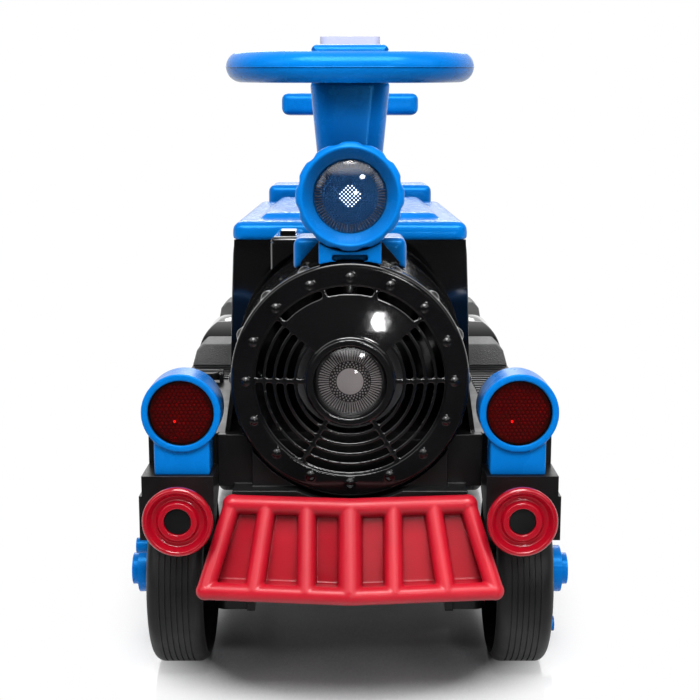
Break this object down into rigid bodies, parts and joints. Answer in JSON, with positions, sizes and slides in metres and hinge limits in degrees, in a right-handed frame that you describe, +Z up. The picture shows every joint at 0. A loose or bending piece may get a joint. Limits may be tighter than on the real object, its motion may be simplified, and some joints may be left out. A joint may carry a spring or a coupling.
{
  "type": "ride on train",
  "caption": "Electric ride on train for a toddler: round boiler with slotted grille and lamps, steering wheel, hinged seat over storage, backrest, cowcatcher and steered wheels.",
  "frame": {"origin": "on the ground below the middle of the bounding box", "axes": "+Z up, the train faces -Y, its left side is +X"},
  "size_m": [0.32, 0.69, 0.4511],
  "materials": {
    "gloss_black": "glossy moulded plastic",
    "satin_black": "satin moulded plastic",
    "grained_grey": "grained moulded plastic",
    "tyre_black": "matte moulded plastic",
    "blue": "glossy moulded plastic",
    "red": "glossy moulded plastic",
    "red_lens": "clear red plastic",
    "clear_lens": "clear plastic",
    "reflector": "bright metallised plastic",
    "pale_panel": "pale translucent plastic",
    "steel": "plain steel",
    "nylon": "natural plastic",
    "knuckle_grey": "filled plastic",
    "board_green": "printed board",
    "battery_grey": "battery case"
  },
  "bodies": {
    "chassis": {"chassis_pan": "satin_black", "axle_brackets": "satin_black", "deck": "satin_black", "mudguard_left": "satin_black", "mudguard_right": "satin_black", "side_sills": "satin_black", "front_beam": "satin_black", "rear_beam": "satin_black", "boiler_shell": "gloss_black", "smokebox_ring": "gloss_black", "boiler_grille": "gloss_black", "speaker": "knuckle_grey", "centre_lamp_lens": "clear_lens", "centre_lamp_reflector": "reflector", "headlight_housing": "blue", "headlight_bezel": "blue", "headlight_lens": "clear_lens", "headlight_reflector": "reflector", "steering_column": "blue", "shaft_bush": "nylon", "control_box": "satin_black", "body_shell": "gloss_black", "backrest": "blue", "hinge_pins": "steel", "side_boxes": "grained_grey", "side_tanks": "gloss_black", "side_lamp_left": "blue", "side_lamp_right": "blue", "side_lens_left": "red_lens", "side_lens_right": "red_lens", "buffers": "red", "buffer_plugs": "gloss_black", "cowcatcher": "red", "battery": "battery_grey", "circuit_board": "board_green", "gearbox": "knuckle_grey", "motor": "steel", "rear_axle": "steel", "rear_axle_nuts": "steel", "kingpins": "steel"},
    "seat": {"seat_lid": "blue"},
    "steering": {"steering_wheel": "blue", "steering_shaft": "steel", "button_panel": "pale_panel"},
    "horn": {"horn_button": "red"},
    "melody_left": {"melody_button_left": "blue"},
    "melody_right": {"melody_button_right": "blue"},
    "steer_knuckle_left": {"knuckle_left": "knuckle_grey"},
    "steer_knuckle_right": {"knuckle_right": "knuckle_grey"},
    "track_rod": {"tie_rod": "knuckle_grey"},
    "wheel_front_left": {"front_wheel_left": "tyre_black", "front_cap_left": "blue"},
    "wheel_front_right": {"front_wheel_right": "tyre_black", "front_cap_right": "blue"},
    "wheel_rear_left": {"rear_wheel_left": "tyre_black", "rear_cap_left": "blue"},
    "wheel_rear_right": {"rear_wheel_right": "tyre_black", "rear_cap_right": "blue"},
    "pedal": {"drive_pedal": "satin_black"},
    "switch": {"direction_switch": "gloss_black"}
  },
  "joints": [
    {"name": "seat_open", "type": "hinge", "parent": "chassis", "child": "seat", "pos_m": [0, 0.248, 0.3078], "axis": [-1, 0, 0], "range_deg": [0, 75]},
    {"name": "steering_turn", "type": "hinge", "parent": "chassis", "child": "steering", "pos_m": [0, -0.23, 0.4], "axis": [0, 0, 1], "range_deg": [-30, 30]},
    {"name": "knuckle_left_turn", "type": "hinge", "parent": "chassis", "child": "steer_knuckle_left", "pos_m": [0.092, -0.23, 0.067], "axis": [0, 0, 1], "range_deg": [-15.1, 15.1]},
    {"name": "knuckle_right_turn", "type": "hinge", "parent": "chassis", "child": "steer_knuckle_right", "pos_m": [-0.092, -0.23, 0.067], "axis": [0, 0, 1], "range_deg": [-15.1, 15.1]},
    {"name": "track_rod_slide", "type": "slide", "parent": "chassis", "child": "track_rod", "axis": [-1, 0, 0], "range_m": [-0.0104, 0.0104]},
    {"name": "wheel_front_left_spin", "type": "hinge", "parent": "steer_knuckle_left", "child": "wheel_front_left", "pos_m": [0.122, -0.23, 0.067], "axis": [1, 0, 0], "continuous": true},
    {"name": "wheel_front_right_spin", "type": "hinge", "parent": "steer_knuckle_right", "child": "wheel_front_right", "pos_m": [-0.122, -0.23, 0.067], "axis": [1, 0, 0], "continuous": true},
    {"name": "wheel_rear_left_spin", "type": "hinge", "parent": "chassis", "child": "wheel_rear_left", "pos_m": [0.122, 0.23, 0.067], "axis": [1, 0, 0], "continuous": true},
    {"name": "wheel_rear_right_spin", "type": "hinge", "parent": "chassis", "child": "wheel_rear_right", "pos_m": [-0.122, 0.23, 0.067], "axis": [1, 0, 0], "continuous": true},
    {"name": "pedal_press", "type": "hinge", "parent": "chassis", "child": "pedal", "pos_m": [-0.122, -0.076, 0.184], "axis": [1, 0, 0], "range_deg": [0, 11], "stiffness_Nm_per_rad": 1.5, "springref_deg": -6.88},
    {"name": "direction_rock", "type": "hinge", "parent": "chassis", "child": "switch", "pos_m": [-0.049, -0.118, 0.302], "axis": [1, 0, 0], "range_deg": [-10, 10]},
    {"name": "horn_press", "type": "slide", "parent": "steering", "child": "horn", "axis": [0, 0, -1], "range_m": [0, 0.0017], "stiffness_N_per_m": 600, "springref_m": -0.0015},
    {"name": "melody_left_press", "type": "slide", "parent": "steering", "child": "melody_left", "axis": [0, 0, -1], "range_m": [0, 0.0017], "stiffness_N_per_m": 400, "springref_m": -0.0015},
    {"name": "melody_right_press", "type": "slide", "parent": "steering", "child": "melody_right", "axis": [0, 0, -1], "range_m": [0, 0.0017], "stiffness_N_per_m": 400, "springref_m": -0.0015}
  ],
  "couplings": [
    {"joint": "knuckle_left_turn", "follows": "steering_turn", "ratio": 0.5},
    {"joint": "knuckle_right_turn", "follows": "steering_turn", "ratio": 0.5},
    {"joint": "track_rod_slide", "follows": "steering_turn", "m_per_rad": 0.01948}
  ]
}
